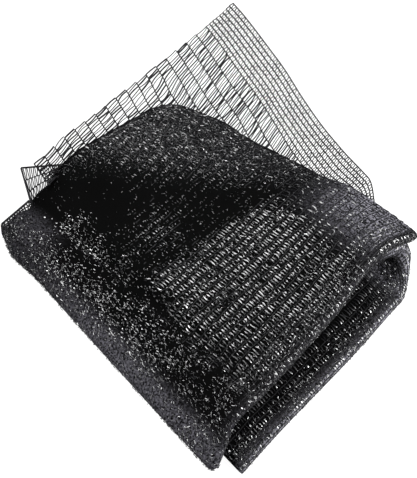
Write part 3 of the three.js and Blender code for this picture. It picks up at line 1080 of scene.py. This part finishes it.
def weft_tapes(name, material, rng, lines, shown, stations_each):
    """Weft tapes between stitch lines: each bows up as 1 less the fourth power of the way from its middle.

    A tape has its own chance slip, bow, shift, bulge, tilt and curl, which grow where the net is crumpled."""
    row, column = kept_wefts(rng, lines, shown)
    start, end = lines[row][:, None], lines[row + 1][:, None]
    middle = (start + end) / 2
    course = COURSES[column][:, None]
    taut = tautness(course, middle)
    loose = crumple(course, middle)
    on_top_lap = course > TOP_START
    sag = np.where(on_top_lap, sag_share(*plan_at(course, middle)), 0)
    slip, bow, shift, bulge, tilt, curl = rng.normal(0, 1, (6, len(row), 1))
    t = np.linspace(0, 1, stations_each)
    arch = 1 - (2 * t - 1) ** 4
    zigzag = WEFT_ZIGZAG * WEFT_PITCH * np.where(column % 2, 1, -1)[:, None]
    length = WEFT_LENGTH - WEFT_SHORTENED * loose**2 * rng.uniform(0, 1, taut.shape) - SAG_SHORTENED * sag
    across = 0.5 + WEFT_SHIFT * shift * loose**2 + length * (t - 0.5)
    slant = 2 * zigzag + slip * grown(WEFT_SLIP, loose**2)
    run = course + slant * (0.5 - t) + bow * grown(WEFT_BOW, loose) * arch
    ply = mix(line_place(start, run), line_place(end, run), across)
    normal = cloth_normal(run, ply)
    lean = mix(ROW_LEAN, SAG_LEAN, sag) * on_top_lap * (end - start) * (t - 0.5)
    hump = np.abs(1 + WEFT_RISE_CHANCE * bulge) * grown(WEFT_RISE, loose) * (1 - taut) * arch
    rise = OUTER_LIFT * (1 - TAUT_SINK * taut) + lean + hump
    paths = cloth_at(run, ply) + normal * rise[..., None]
    along = unit(cloth_at(run + ALONG_STEP, ply) - cloth_at(run - ALONG_STEP, ply))
    slow = drift(rng, row, COURSES[column])[:, None] + ROW_DRIFT * rng.normal(0, 1, len(lines))[row][:, None]
    twist = tilt * grown(WEFT_TILT, loose**2) + DRIFT_TWIST * slow * (1 - taut)
    twist = twist + WEFT_CURL * curl * loose * (t - 0.5)
    sides = along * np.cos(twist)[..., None] + normal * np.sin(twist)[..., None]
    widths = TAPE_WIDTH * rng.uniform(*WEFT_WIDTHS, taut.shape) * (1 - WEFT_NARROWED * loose)
    widths = widths * (1 - SAG_NARROWED * sag) * mix(WEFT_ENDS, 1, arch)
    whole = lies_whole(run, ply, paths)
    return new_tapes(name, material, rng, paths[whole], sides[whole], widths[whole], TAPE_THICKNESS)


def crumpled_tapes(name, material, rng, tries, spans, share, turned, tilted, size):
    """Short tapes where the net is crumpled: at chance places, turned in the cloth and tilted out of it."""
    run, ply = (rng.uniform(*span, tries) for span in spans)
    kept = rng.uniform(0, 1, tries) < share(run, ply)
    kept &= (run < run_limit(ply) - CRUMPLED_MARGIN) & (ply < PLY_END - CRUMPLED_MARGIN)
    run, ply = run[kept][:, None], ply[kept][:, None]
    turn = rng.normal(math.pi / 2, turned, run.shape)
    half = size * rng.uniform(*CRUMPLED_LENGTHS, run.shape)
    ends = np.array([-1, 1])
    runs = run + half * np.cos(turn) * ends
    plies = ply + half * np.sin(turn) * ends
    normal = cloth_normal(runs, plies)
    rise = OUTER_LIFT + rng.uniform(0, CRUMPLED_RISE, run.shape)
    paths = cloth_at(runs, plies) + normal * rise[..., None]
    tilt = rng.normal(0, tilted, run.shape)[..., None]
    sides = unit(np.cross(normal, np.gradient(paths, axis=1))) * np.cos(tilt) + normal * np.sin(tilt)
    clear = paths[..., 2].min(axis=1) > FLOOR_CLEARANCE
    widths = size * rng.uniform(*CRUMPLED_WIDTHS, run.shape)
    return new_tapes(name, material, rng, paths[clear], sides[clear], widths[clear], TAPE_THICKNESS)


def stitch_lines(name, material, rng, lines, shown):
    """Chain stitches along the lines: short beads that swell in the middle, one to each course."""
    courses = np.arange(STITCH_START, RUN_END - WEFT_PITCH, WEFT_PITCH)
    line, course = np.meshgrid(lines, courses, indexing="ij")
    hold = rng.uniform(*STITCH_HOLD, line.shape) + on_folds(course, line)
    kept = shown(course, line) & (missing_share(course, line) < hold)
    line, course = line[kept][:, None], course[kept][:, None]
    t = np.linspace(0, 1, STITCH_STATIONS)
    run = course + WEFT_PITCH * t
    ply = line_place(line, run) + rng.normal(0, STITCH_WANDER, line.shape) * crumple(course, line)
    normal = cloth_normal(run, ply)
    paths = cloth_at(run, ply) + normal * OUTER_LIFT
    sides = np.cross(normal, np.gradient(paths, axis=1))
    widths = STITCH_WIDTH * np.broadcast_to(STITCH_ENDS + STITCH_SWELL * np.sin(math.pi * t), run.shape)
    whole = lies_whole(run, ply, paths)
    return new_tapes(name, material, rng, paths[whole], sides[whole], widths[whole], STITCH_THICKNESS)


def corner_lines():
    """Distances of the corner's stitch lines from its selvage edge: close in the selvage, wide in the net."""
    close = np.arange(SELVAGE_LINES) * SELVAGE_SPACING
    wide = close[-1] + CORNER_SPACING * np.arange(1, CORNER_LINES + 1)
    return np.concatenate([close, wide])


def corner_line_x(distance, y):
    """X of a stitch line of the corner: parallel to the selvage, with less of its bow and curl further in."""
    curl = SELVAGE_CURL * smooth(CORNER_FRONT, SELVAGE_CURL_END, y)
    straight = SELVAGE_START + SELVAGE_SLANT * (y - CORNER_FRONT)
    share = np.clip((y - SELVAGE_BOW_START) / (CUT_EDGE_LEFT - SELVAGE_BOW_START), 0, 1)
    bow = SELVAGE_BOW * np.sin(math.pi * share) * np.exp(-distance / SELVAGE_BOW_FADE)
    return straight + bow + mix(SELVAGE_CURL, curl, np.exp(-distance / SELVAGE_CURL_FADE)) - distance


def corner_crossings():
    """Where the corner's stitch lines cross its courses, which are counted from the cut edge.

    Gives the lines' distances from the selvage edge, the y of each crossing, and which of them show."""
    distances = corner_lines()
    courses = np.arange(CORNER_WEFT_START, CORNER_NET_DEPTH, CORNER_WEFT)
    line, depth = np.meshgrid(distances, courses, indexing="ij")
    y = cut_edge_at(corner_line_x(line, CUT_EDGE_LEFT)) - depth
    x = corner_line_x(line, y)
    outside = np.maximum(*beyond_packet(x, y)) > -CORNER_TUCK
    return distances, y, (y > CORNER_NET_FRONT) & outside & (x > CORNER_NET_LEFT)


def corner_cords(name, material, rng, x, y, rise, widths, thickness, twist):
    """Cords on the standing corner along rows of x and y, lifted by their rise and turned by their twist."""
    normal = corner_normal(x, y)
    paths = corner_at(x, y) + normal * np.broadcast_to(rise, x.shape)[..., None]
    across = unit(np.cross(normal, np.gradient(paths, axis=1)))
    twist = np.broadcast_to(twist, x.shape)[..., None]
    sides = across * np.cos(twist) + normal * np.sin(twist)
    return new_tapes(name, material, rng, paths, sides, widths, thickness)


def corner_wefts(material, rng):
    """Zigzag wefts between the standing corner's stitch lines: each leans, bows and curls by chance, and
    more so the wider its lines lie."""
    distances, place, shown = corner_crossings()
    line, course = np.nonzero(shown[:-1] & shown[1:])
    near, far = distances[line][:, None], distances[line + 1][:, None]
    loose = np.minimum(1, (far - near) / CORNER_SPACING)
    first, last, bow, lift, curl = rng.normal(0, 1, (5, len(line), 1)) * loose
    t = np.linspace(0, 1, CORNER_WEFT_STATIONS)
    arch = np.sin(math.pi * t)
    lean = CORNER_WEFT_LEAN * (far - near) * loose
    zigzag = CORNER_WEFT * grown(CORNER_ZIGZAG, loose) * np.where(course % 2, 1, -1)[:, None]
    y = mix(place[line, course][:, None], place[line + 1, course][:, None], t)
    y = y + zigzag * (1 - 2 * t) + lean * (0.5 - t)
    y = y + CORNER_WEFT_SLIP * mix(first, last, t) + CORNER_WEFT_BOW * bow * arch
    x = mix(corner_line_x(near, y), corner_line_x(far, y), t)
    widths = rng.uniform(*CORNER_WEFT_WIDTHS, loose.shape) * grown(CORNER_WEFT_SIZE, loose)
    rise = CORNER_WEFT_RISE * lift * arch
    twist = CORNER_WEFT_CURL * curl
    return corner_cords("corner_weft_tapes", material, rng, x, y, rise, widths, CORNER_WEFT_THICKNESS, twist)


def corner_chains(material, rng):
    """Chain stitches along the standing corner's lines: short beads that swell and sway as sine waves."""
    distances, place, shown = corner_crossings()
    line, course = np.nonzero(shown[:, :-1] & shown[:, 1:])
    t = np.linspace(0, 1, STITCH_STATIONS)
    y = place[line, course][:, None] - CORNER_WEFT * t
    x = corner_line_x(distances[line][:, None], y) + CORNER_CHAIN_SWAY * np.sin(2 * math.pi * t)
    widths = CORNER_CHAIN_WIDTH + CORNER_CHAIN_SWELL * np.sin(math.pi * t)
    return corner_cords("corner_stitch_lines", material, rng, x, y, 0, widths, CORNER_CHAIN_THICKNESS, 0)


def open_place(end, u, v):
    """Point of an open end of the net: a share u along its root and outer edge, a share v between them."""
    root = cloth_at(TOP_START + mix(*end["root"], u), np.full_like(u, PLY_END - OPEN_END_TUCK))
    return mix(root, mix(*end["outer"], u[..., None]), v[..., None])


def open_end(material, rng, end):
    """An open end of the net, a patch between two edges: stitch lines, zigzag wefts and a rolled rim."""
    rows = np.linspace(0, 1, end["rows"] + 1)
    pitch = end["pitch"] / (end["root"][1] - end["root"][0])
    row, along = np.meshgrid(np.arange(end["rows"]), np.arange(pitch, 1, pitch), indexing="ij")
    row, along = row.reshape(-1, 1), along.reshape(-1, 1)
    t = np.linspace(0, 1, OPEN_WEFT_STATIONS)
    zigzag = OPEN_WEFT_ZIGZAG * np.where(np.arange(len(along)) % 2, 1, -1)[:, None]
    lean = pitch * (zigzag + rng.normal(0, OPEN_WEFT_CHANCE, along.shape))
    wefts = open_place(end, np.clip(along + lean * (t - 0.5), 0, 1), mix(rows[row], rows[row + 1], t))
    place, level = np.meshgrid(np.linspace(0, 1, OPEN_END_STATIONS), rows)
    chains = open_place(end, place, level)
    edge = place[0]
    rims = np.stack([open_place(end, edge, np.ones_like(edge)), open_place(end, np.zeros_like(edge), edge)])
    pieces = []
    for name, paths in [("weft", wefts), ("stitch", chains), ("rim", rims)]:
        sides = np.cross(unit(np.gradient(paths, axis=1)), end["facing"])
        full_name = end["name"] + "_" + name
        pieces.append(new_tapes(full_name, material, rng, paths, sides, end[name], OPEN_END_THICKNESS))
    return pieces


def studio(low):
    """A backlit white table, soft lights behind on the right, at the left and the front, and a dim room."""
    mesh = bpy.data.meshes.new("studio_table")
    signs = [(-1, -1), (1, -1), (1, 1), (-1, 1)]
    corners = [(TABLE_REACH * across, TABLE_REACH * along, low) for across, along in signs]
    mesh.from_pydata(corners, [], [(0, 1, 2, 3)])
    mesh.materials.append(backlit_table())
    table = bpy.data.objects.new("studio_table", mesh)
    bpy.context.scene.collection.objects.link(table)
    for lamp in LAMPS:
        light = bpy.data.lights.new(lamp["name"], "AREA")
        light.size = lamp["size"]
        light.energy = lamp["power"]
        box = bpy.data.objects.new(lamp["name"], light)
        box.location = lamp["place"]
        box.rotation_euler = (-Vector(lamp["place"])).to_track_quat("-Z", "Y").to_euler()
        bpy.context.scene.collection.objects.link(box)
    world = bpy.data.worlds.new("studio_room")
    world.use_nodes = True
    room = world.node_tree.nodes["Background"]
    room.inputs["Color"].default_value = hex_colour("#ffffff")
    room.inputs["Strength"].default_value = ROOM_LIGHT
    bpy.context.scene.world = world
    bpy.context.scene.view_settings.view_transform = "Standard"


def photo_camera():
    """The photograph's camera: it looks down from the left front corner, with its focal length in pixels."""
    data = bpy.data.cameras.new("photo_camera")
    data.sensor_width = SENSOR
    data.lens = FOCAL_PIXELS / FRAME_PIXELS * SENSOR
    camera = bpy.data.objects.new("photo_camera", data)
    camera.location = (CAMERA_PLACE - CENTRE) * MM
    pitch = math.radians(CAMERA_PITCH)
    turn = math.radians(CAMERA_TURN)
    ahead = Vector((math.cos(pitch) * math.sin(turn), math.cos(pitch) * math.cos(turn), -math.sin(pitch)))
    camera.rotation_euler = ahead.to_track_quat("-Z", "Y").to_euler()
    bpy.context.scene.collection.objects.link(camera)
    bpy.context.scene.camera = camera


# Short tapes and loose ends: how many are tried and where, the share of them that stays, how far they turn
# and tilt by chance in radians, and their size in millimetres
CRUMPLED_KINDS = [
    dict(
        name="left_crumpled_tapes",
        tries=30000,
        spans=TOP_SPANS,
        share=glint_share,
        turned=0.5,
        tilted=0.6,
        size=0.98,
    ),
    dict(
        name="back_crumpled_tapes",
        tries=74000,
        spans=TOP_SPANS,
        share=lifted_share,
        turned=1.0,
        tilted=0.9,
        size=0.36,
    ),
    dict(
        name="top_loose_ends",
        tries=16000,
        spans=TOP_SPANS,
        share=loose_share,
        turned=0.8,
        tilted=0.6,
        size=0.65,
    ),
    dict(
        name="fold_loose_ends",
        tries=20000,
        spans=FOLD_SPANS,
        share=fold_share,
        turned=0.8,
        tilted=0.5,
        size=0.8,
    ),
]

rng = np.random.default_rng(SEED)
photo_camera()
tape = polyethylene_tape()
stitch = polyethylene_stitch()
plies = folded_plies(inner_net_painted_sheen())
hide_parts("shade_cloth")
lines = stitch_places(rng)
ribs = np.arange(*RIBS_SPAN, RIB_SPACING)
net = [
    weft_tapes("top_weft_tapes", tape, rng, lines, on_top, stations_each=5),
    weft_tapes("side_weft_tapes", tape, rng, lines, on_sides, stations_each=4),
    weft_tapes("fold_weft_tapes", tape, rng, ribs, on_folds, stations_each=3),
]
for kind in CRUMPLED_KINDS:
    net.append(crumpled_tapes(material=tape, rng=rng, **kind))
net += [
    stitch_lines("top_stitch_lines", stitch, rng, lines, on_top),
    stitch_lines("side_stitch_lines", stitch, rng, lines, on_sides),
    stitch_lines("fold_stitch_lines", stitch, rng, ribs, on_folds),
    corner_wefts(stitch, rng),
    corner_chains(stitch, rng),
]
for end in OPEN_ENDS:
    net += open_end(stitch, rng, end)
studio(solid_low.z)
